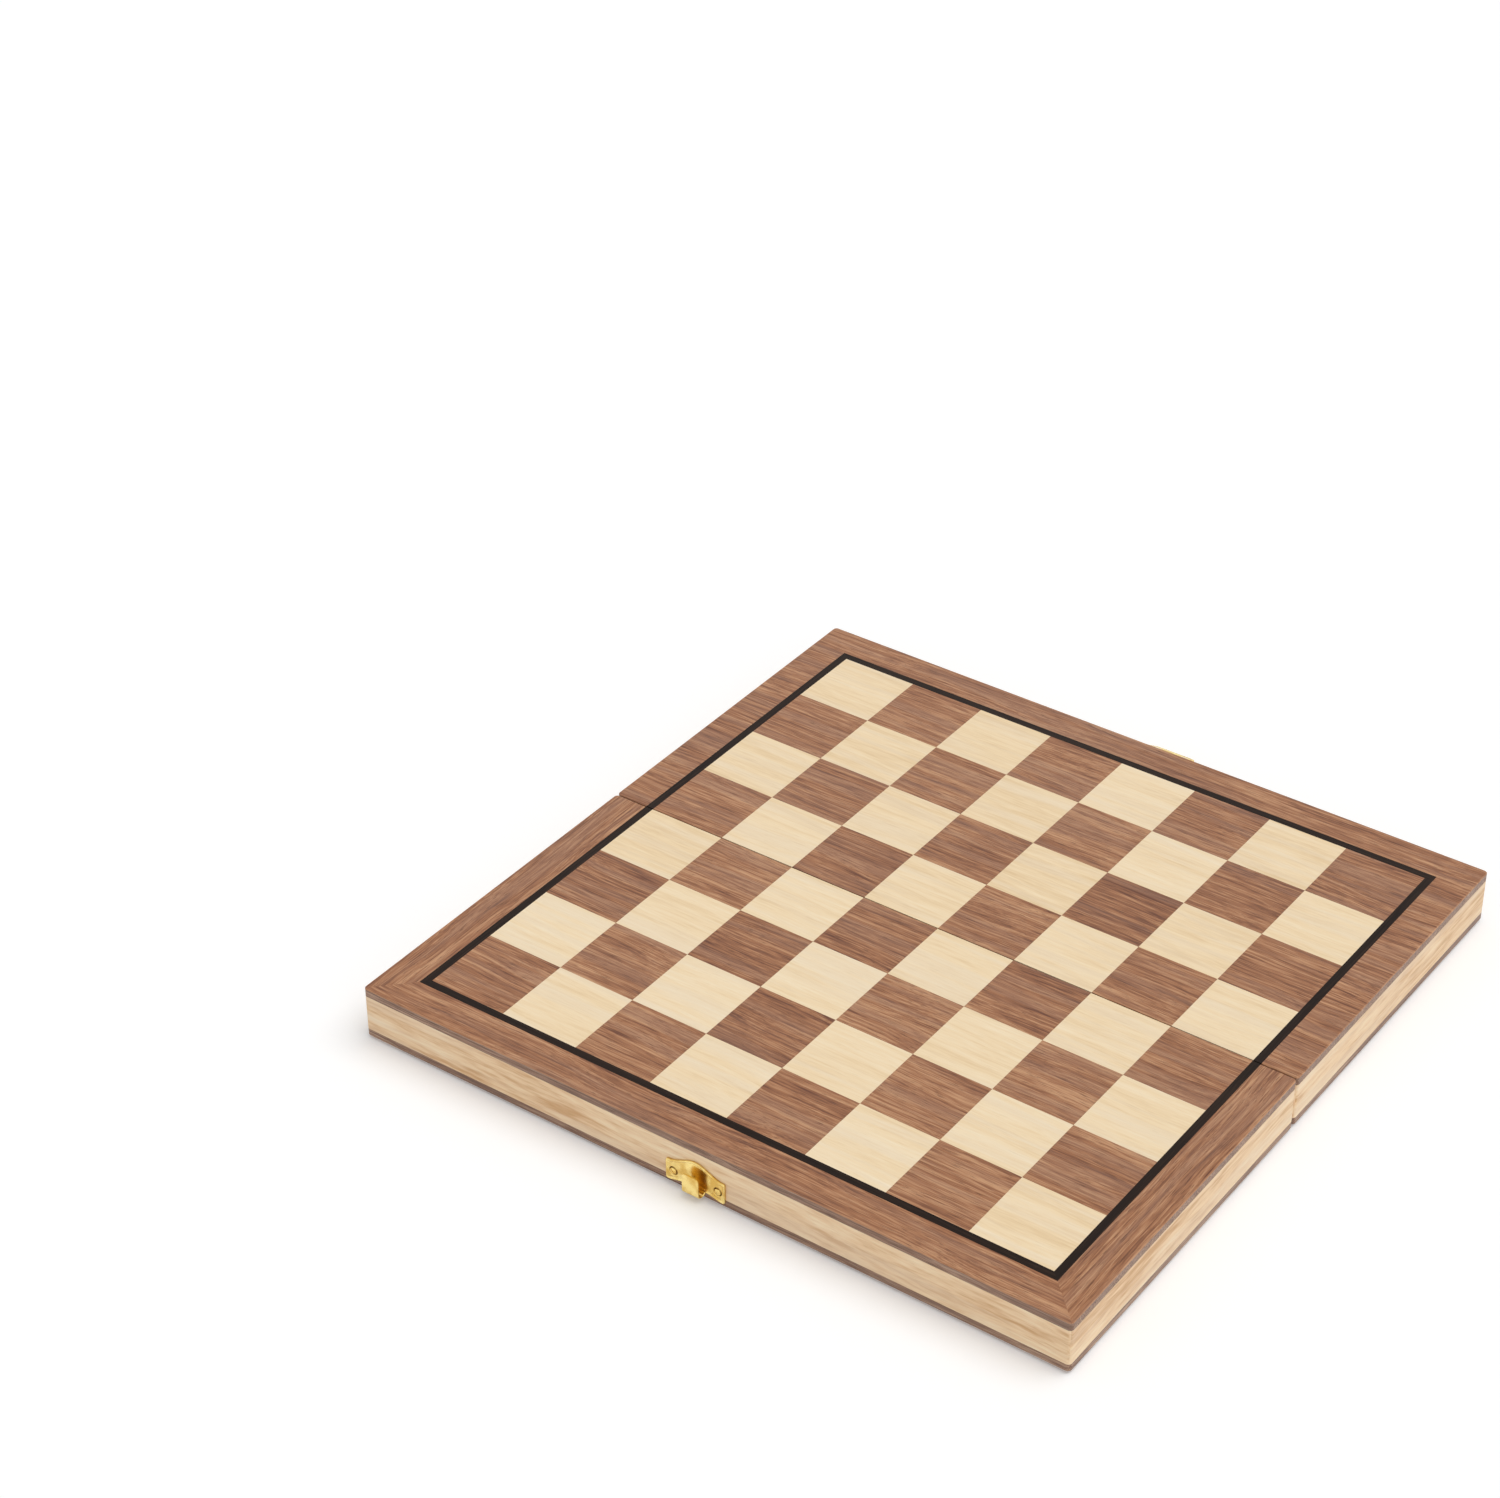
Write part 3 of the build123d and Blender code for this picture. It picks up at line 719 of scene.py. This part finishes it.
def hook_surface():
    """Place = path + section's thickness times the path's normal, closed by a point at each end."""
    path = hook_path()
    ahead = np.gradient(path, axis=0)
    ahead /= np.linalg.norm(ahead, axis=1, keepdims=True)
    normal = np.stack([ahead[:, 1], -ahead[:, 0]], -1)
    section = rounded_section(hook_half_width(path), HOOK_SHEET / 2)
    out = path[:, 0, None] + section[..., 1] * normal[:, 0, None]
    up = path[:, 1, None] + section[..., 1] * normal[:, 1, None]
    rings = near_wall_point(section[..., 0], up, out)
    ends = np.broadcast_to(rings[[0, -1]].mean(axis=1, keepdims=True), rings[[0, -1]].shape)
    return np.concatenate([ends[:1], rings, ends[1:]])


plate_grids = [catch_plate_surface(), hook_surface()]
plate = piece_from_grids("catch_plate_pressed", plate_grids, catch_finish)
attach(plate, "near_half")
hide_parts("catch_plate")

# %% [markdown]
# ## Screws
# A screw head is a shallow dome with a slot sawn across it. The disc is laid out so that its grid
# lines run along the slot: x goes across, and y is stretched to the circle's edge. The slot's walls
# are then two grid lines at nearly one place with different heights, and stay crisp. Below the head
# comes a cone and a thread, one surface over depth and turn.

# %% Screw surfaces
THREAD_DEPTH, THREAD_PITCH, THREAD_TOP, POINT_LENGTH = 0.24, 0.9, 1.05, 1.6
HEAD_EDGE, HEAD_CONE, HEAD_SINK, HEAD_CURVE = 0.3, 1.0, 0.05, 0.96
SLOT_HALF, SLOT_WALL, SLOT_DEEP = 0.14, 1e-3, 0.3
FIRST_TURN, TURN_STEP = 0.7, 1.9


def screw_head(radius, dome, turn):
    """Dome with a slot: dome (root of 1 - 0.96 r squared, less 0.2), less the depth in the slot."""
    side = 1 - SLOT_HALF
    x = np.concatenate([
        -SLOT_HALF - side * np.cos(np.linspace(0, np.pi / 2, 12, endpoint=False)),
        [-SLOT_HALF - SLOT_WALL, -SLOT_HALF, 0, SLOT_HALF, SLOT_HALF + SLOT_WALL],
        SLOT_HALF + side * np.sin(np.linspace(0, np.pi / 2, 13)[1:]),
    ])
    y = np.sin(np.linspace(-np.pi / 2, np.pi / 2, 25))
    grid_x, grid_y = np.meshgrid(x, y, indexing="ij")
    flat_y = grid_y * np.sqrt(np.clip(1 - grid_x**2, 0, None))
    rounded = np.sqrt(np.clip(1 - HEAD_CURVE * (grid_x**2 + flat_y**2), 0, None))
    height = dome * (rounded - 0.2)
    height = np.where(np.abs(grid_x) <= SLOT_HALF, height - SLOT_DEEP, height)
    cos, sin = math.cos(turn), math.sin(turn)
    across = radius * (grid_x * cos - flat_y * sin)
    up = radius * (grid_x * sin + flat_y * cos)
    return across, up, height


def screw_shank(radius, shank, length):
    """A cone, then radius = shank - depth (1 - cos(turn - 2 pi down / pitch)) / 2, and a point."""
    cone_down = np.linspace(HEAD_EDGE, HEAD_CONE, 4)[1:]
    down = np.concatenate([[HEAD_EDGE] * 2, cone_down, np.linspace(THREAD_TOP, length, 60)])
    turn = np.linspace(0, 2 * np.pi, 30, endpoint=False)
    grid_down, grid_turn = np.meshgrid(down, turn, indexing="ij")
    phase = grid_turn - 2 * np.pi * grid_down / THREAD_PITCH
    thread = shank - THREAD_DEPTH * (1 - np.cos(phase)) / 2
    cone = radius + (shank - radius) * (grid_down - HEAD_EDGE) / (HEAD_CONE - HEAD_EDGE)
    point = np.clip((length - grid_down) / POINT_LENGTH, 0, 1)
    reach = np.where(grid_down <= HEAD_CONE, cone, thread) * point
    reach[0] = 0
    return reach * np.cos(grid_turn), reach * np.sin(grid_turn), -grid_down


def screws(name, places, point, sizes, body, replaced):
    """Screws at the places: each has a head, closed at the back, and a shank.

    point turns across, up and out into a place on the board. sizes are head radius, dome height,
    shank radius and length.
    """
    radius, dome, shank, length = sizes
    grids = []
    for number, (across, up, level) in enumerate(places):
        a, u, height = screw_head(radius, dome, FIRST_TURN + TURN_STEP * number)
        front = point(across + a, up + u, level + height)
        back = point(across + a, up + u, np.full(a.shape, level - HEAD_EDGE - HEAD_SINK))
        grids.append(np.concatenate([front, back[:, ::-1]], axis=1))
        a, u, height = screw_shank(radius, shank, length)
        grids.append(point(across + a, up + u, level + height))
    piece = piece_from_grids(name, grids, brass_finish, 30)
    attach(piece, body)
    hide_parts(replaced)


def far_wall_point(across, up, out):
    """A point given on the far face, up counted from the table."""
    return np.stack([-across, back_face + out, up], axis=-1)


def rim_point(across, along, out):
    """A point given on the rims, out meaning down."""
    return np.stack([across, along, rim_z - out], axis=-1)


# %% Screws of the catch, the hasp and the hinges
BASE_SCREW_Z = (10.6, 6.9)
CATCH_SCREW = (1.7, 0.42, 0.9, 8.0)
HASP_SCREW = (1.6, 0.3, 0.8, 8.0)
HINGE_SCREW = (1.8, 0.1, 0.9, 8.0)

catch_at = [(x, SCREW_UP, SHEET) for x in (-SCREW_X, SCREW_X)]
base_at = [(0.0, z, SHEET) for z in BASE_SCREW_Z]
screws("catch_screws_slotted", catch_at, near_wall_point, CATCH_SCREW, "near_half", "catch_screws")
screws("hasp_screws_slotted", base_at, far_wall_point, HASP_SCREW, "far_half", "hasp_base_screws")
for half, side in (("near", -1), ("far", 1)):
    piece, replaced = f"{half}_hinge_screws_slotted", f"{half}_hinge_screws"
    leaf_at = [(x, y, 0.0) for x, y in hinge_places if y * side > 0]
    screws(piece, leaf_at, rim_point, HINGE_SCREW, f"{half}_half", replaced)

# %% [markdown]
# ## The hasp frame
# The swinging frame is one pressed ring: an arched outline outside, a window inside, and the outer
# edge turned back towards the wall. Going round the ring is one parameter and going across the
# sheet and back behind it is the other. It is worked out as it hangs when shut, then turned about
# its pin.

# %% Hasp frame surface
FRAME_HALF, FRAME_CROWN, FRAME_SHOULDER, FRAME_END, FRAME_R = 11.5, 1.0, 3.5, 38.3, 2.2
WINDOW_HALF, WINDOW_TOP, WINDOW_END, WINDOW_R = 6.0, 4.0, 33.3, 0.8
FRAME_BACK, FRAME_FRONT, FLANGE_BACK = 3.6, 4.6, 1.7
FLANGE_FROM, FLANGE_FADE = 4.6, 2.5
RING = 320
BARREL_HALF, BARREL_RADIUS, BARREL_BORE, BARREL_POINTS = 2.6, 1.6, 0.73, 72
WEB_HALF, WEB_OVERLAP = 1.0, 0.1
pin_out = hasp_pin_y - back_face
web_reach = FRAME_BACK - pin_out + WEB_OVERLAP


def shut_to_rest(across, down, out):
    """A point of the shut hasp, counted from its pin, turned out to where the hasp rests."""
    y = out - pin_out
    z = -down
    cos, sin = math.cos(hasp_splay), math.sin(hasp_splay)
    along = hasp_pin_y + y * cos - z * sin
    up = hasp_pin_z + y * sin + z * cos
    return np.stack([across, along, up], axis=-1)


def frame_outline():
    """An arch through crown and shoulders, straight sides and two rounded corners, going down."""
    rise = FRAME_SHOULDER + FRAME_CROWN
    radius = (FRAME_HALF**2 + rise**2) / (2 * rise)
    half_turn = math.degrees(math.asin(FRAME_HALF / radius))
    arch = arc(0, radius - FRAME_CROWN, radius, -90, -90 + half_turn, 40)
    corner = arc(FRAME_HALF - FRAME_R, FRAME_END - FRAME_R, FRAME_R, 0, 90, 14)
    half = np.vstack([arch, corner, [[0, FRAME_END]]])
    return np.vstack([half, half[-2:0:-1] * [-1, 1]])


def window_outline():
    """A rectangle with four rounded corners, going down one side and up the other."""
    top = arc(WINDOW_HALF - WINDOW_R, WINDOW_TOP + WINDOW_R, WINDOW_R, -90, 0, 8)
    low = arc(WINDOW_HALF - WINDOW_R, WINDOW_END - WINDOW_R, WINDOW_R, 0, 90, 8)
    half = np.vstack([[[0, WINDOW_TOP]], top, low, [[0, WINDOW_END]]])
    return np.vstack([half, half[-2:0:-1] * [-1, 1]])


def frame_surface():
    """Rings: each is one of the outlines drawn in by an inset, at its own height off the wall."""
    outer = evenly(frame_outline(), RING)
    inner = evenly(window_outline(), RING)
    turned_back = smooth((outer[:, 1] - FLANGE_FROM) / FLANGE_FADE)
    flange = FRAME_BACK - (FRAME_BACK - FLANGE_BACK) * turned_back
    level = np.ones(RING)
    profile = [
        (outer, 1.0, level * FRAME_BACK),
        (outer, 1.0, flange + 0.02),
        (outer, 0.9, flange),
        (outer, 0.12, flange),
        (outer, 0.0, flange + 0.12),
        (outer, 0.0, level * (FRAME_FRONT - 0.75)),
        (outer, 0.10, level * (FRAME_FRONT - 0.38)),
        (outer, 0.32, level * (FRAME_FRONT - 0.12)),
        (outer, 0.65, level * FRAME_FRONT),
        (outer, 1.05, level * (FRAME_FRONT - 0.05)),
        (outer, 1.45, level * (FRAME_FRONT - 0.24)),
        (outer, 1.85, level * (FRAME_FRONT - 0.32)),
        (inner, -0.45, level * (FRAME_FRONT - 0.32)),
        (inner, -0.14, level * (FRAME_FRONT - 0.38)),
        (inner, 0.0, level * (FRAME_FRONT - 0.55)),
        (inner, 0.0, level * (FRAME_BACK + 0.1)),
        (inner, -0.1, level * FRAME_BACK),
        (outer, 1.0, level * FRAME_BACK),
    ]
    rings = []
    for outline, inset, height in profile:
        ring = drawn_in(outline, np.full(RING, inset))
        rings.append(shut_to_rest(ring[:, 0], ring[:, 1], height))
    return np.stack(rings)


def knuckle_surface():
    """Barrel round the pin with a web up to the sheet: a ring profile carried along the pin.

    Outside, each point lies on the circle or on the web's box, whichever is further from the pin.
    """
    angle = np.linspace(0, 2 * np.pi, BARREL_POINTS, endpoint=False)
    down, out = np.cos(angle), np.sin(angle)
    with np.errstate(divide="ignore"):
        to_side = WEB_HALF / np.abs(down)
        to_sheet = np.where(out > 0, web_reach / np.abs(out), 0)
    outside = np.maximum(BARREL_RADIUS, np.where(out > 0, np.minimum(to_side, to_sheet), 0))
    inside = np.full(BARREL_POINTS, BARREL_BORE)
    reach = np.stack([inside, outside, outside, inside, inside])
    end = np.array([-1.0, -1.0, 1.0, 1.0, -1.0])[:, None]
    across = np.broadcast_to(end * BARREL_HALF, reach.shape)
    return shut_to_rest(across, down * reach, pin_out + out * reach)


frame_grids = [frame_surface(), knuckle_surface()]
hasp = piece_from_grids("hasp_frame_pressed", frame_grids, brass_finish)
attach(hasp, "hasp")
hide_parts("hasp_frame")

# %% [markdown]
# ## Felt lining
# Each tray is lined with one rectangle of felt glued under the panel. It is a thin closed sheet
# whose lower face undulates by a tenth of a millimetre, as glued cloth does.

# %% Felt sheets
FELT_MARGIN, FELT_ABOVE, FELT_WAVE = 0.6, 0.12, 0.1


def felt_sheet(half):
    """A rectangle of cloth: lower = flat + 0.1 sin(0.21 x + ..) sin(0.19 y + ..), upper is flat."""
    low, high = (np.array(c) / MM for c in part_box(f"{half}_felt"))
    cut = high - low - 2 * FELT_MARGIN
    grid_u, grid_v = np.meshgrid(np.linspace(0, 1, 91), np.linspace(0, 1, 47), indexing="ij")
    x = low[0] + FELT_MARGIN + cut[0] * grid_u
    y = low[1] + FELT_MARGIN + cut[1] * grid_v
    waves = np.sin(x * 0.21 + 0.6 * np.sin(y * 0.17)) * np.sin(y * 0.19 + 0.8 * np.sin(x * 0.11))
    bottom = np.stack([x, y, low[2] + FELT_ABOVE + FELT_WAVE * waves], axis=-1)
    top = np.stack([x, y, np.full(x.shape, high[2])], axis=-1)
    loop = np.concatenate([top, bottom[:, ::-1]], axis=1)
    closed = np.concatenate([end_cap(loop[:1]), loop, end_cap(loop[-1:])], axis=0)
    return closed, cut[:2] * MM


def end_cap(ring):
    """Closes one end of a flat loop by folding the loop onto itself."""
    count = ring.shape[1] // 2
    front, back = ring[:, :count], ring[:, count:][:, ::-1]
    middle = (front + back) / 2
    return np.concatenate([middle, middle[:, ::-1]], axis=1)


for half in ("near", "far"):
    closed, cut = felt_sheet(half)
    cloth = piece_from_grids(f"{half}_felt_lining", [closed], felt_finish, 50)
    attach(cloth, f"{half}_half")
    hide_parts(f"{half}_felt")

# %% [markdown]
# ## Light and floor
# A product photographer would use a white table and large soft boxes. Two wide suns and an even sky
# do the same here: together they light a level white card to just under white, so a colour renders
# about as it is written. The floor is seen from above only, so that the underside can be looked at.

# %% Lamps
KEY_STRENGTH, KEY_WIDTH, KEY_TOWARDS = 1.3, 50, (0.35, 0.25, 1.0)
FILL_STRENGTH, FILL_WIDTH, FILL_TOWARDS = 0.35, 70, (0.7, -0.8, 0.5)


def add_sun(name, strength, width_degrees, towards, in_mirrors):
    """A wide sun: towards is the direction from the board to the middle of the lamp.

    in_mirrors says whether polished metal shows the lamp itself or only the white round it.
    """
    lamp = bpy.data.lights.new(name, "SUN")
    lamp.energy = strength
    lamp.angle = math.radians(width_degrees)
    sun = bpy.data.objects.new(name, lamp)
    out = np.array(towards, float) / np.linalg.norm(towards)
    side = np.cross((0, 0, 1), out)
    side /= np.linalg.norm(side)
    up = np.cross(out, side)
    sun.matrix_world = Matrix([side, up, out]).transposed().to_4x4()
    sun.visible_glossy = in_mirrors
    bpy.context.scene.collection.objects.link(sun)


add_sun("key_light", KEY_STRENGTH, KEY_WIDTH, KEY_TOWARDS, in_mirrors=False)
add_sun("fill_light", FILL_STRENGTH, FILL_WIDTH, FILL_TOWARDS, in_mirrors=True)
print("lamps:", KEY_STRENGTH, "and", FILL_STRENGTH)

# %% Sky and floor
SKY_LOW, SKY_HIGH, HORIZON, OVERHEAD = 0.16, 0.52, 0.05, 0.5
FLOOR_GLOW, FLOOR_BOUNCE, FLOOR_HALF, FLOOR_GAP = 0.16, 0.22, 6.0, 0.00005
WHITE = (1, 1, 1, 1)


class Sky(Finish):
    """The world under construction, with the same methods for its nodes."""

    def __init__(self, name):
        self.world = bpy.data.worlds.new(name)
        self.world.use_nodes = True
        self.tree = self.world.node_tree
        self.tree.nodes.clear()


def background_rays(finish):
    """One for rays that show the background: straight to the camera, off metal or through glass."""
    rays = finish.add("ShaderNodeLightPath")
    kinds = ("Camera", "Glossy", "Transmission")
    camera, glossy, through = (rays.wire(f"Is {kind} Ray") for kind in kinds)
    return camera.maths("MAXIMUM", glossy).maths("MAXIMUM", through)


def add_sky():
    """A soft sky that is brighter overhead than at the horizon, and white where it is seen."""
    sky = Sky("studio")
    direction = sky.add("ShaderNodeTexCoord").wire("Generated")
    up = sky.add("ShaderNodeSeparateXYZ", {}, {0: direction}).wire("Z")
    light = abs(up).between(HORIZON, OVERHEAD) * (SKY_HIGH - SKY_LOW) + SKY_LOW
    strength = background_rays(sky).maths("MAXIMUM", light)
    background = sky.add("ShaderNodeBackground", {}, {"Color": WHITE, "Strength": strength})
    sky.add("ShaderNodeOutputWorld", {}, {"Surface": background.wire("Background")})
    bpy.context.scene.world = sky.world


def add_floor():
    """A square of table, white from above and clear from below."""
    corners = [(x * FLOOR_HALF, y * FLOOR_HALF, 0) for x, y in ((-1, -1), (1, -1), (1, 1), (-1, 1))]
    mesh = bpy.data.meshes.new("table")
    mesh.from_pydata(corners, [], [(0, 1, 2, 3)])
    floor = bpy.data.objects.new("table", mesh)
    floor.location.z = cad_low[2] - FLOOR_GAP
    finish = Finish("white_table")
    finish.set(Base_Color=(0.93, 0.93, 0.93, 1), Roughness=0.9, Specular_IOR_Level=0.1)
    glow = background_rays(finish) * (FLOOR_GLOW - FLOOR_BOUNCE) + FLOOR_BOUNCE
    finish.set(Emission_Color=WHITE, Emission_Strength=glow)
    facing = finish.add("ShaderNodeNewGeometry").wire("Backfacing")
    clear = finish.add("ShaderNodeBsdfTransparent").wire("BSDF")
    seen = finish.surface.wire("BSDF")
    both = finish.add("ShaderNodeMixShader", {}, {0: facing, 1: seen, 2: clear})
    out = next(n for n in finish.tree.nodes if n.type == "OUTPUT_MATERIAL")
    finish.tree.links.new(both.wire("Shader").socket, out.inputs["Surface"])
    mesh.materials.append(finish.material)
    bpy.context.scene.collection.objects.link(floor)


add_sky()
add_floor()
bpy.context.scene.view_settings.view_transform = "Standard"
print("sky from", SKY_LOW, "to", SKY_HIGH)
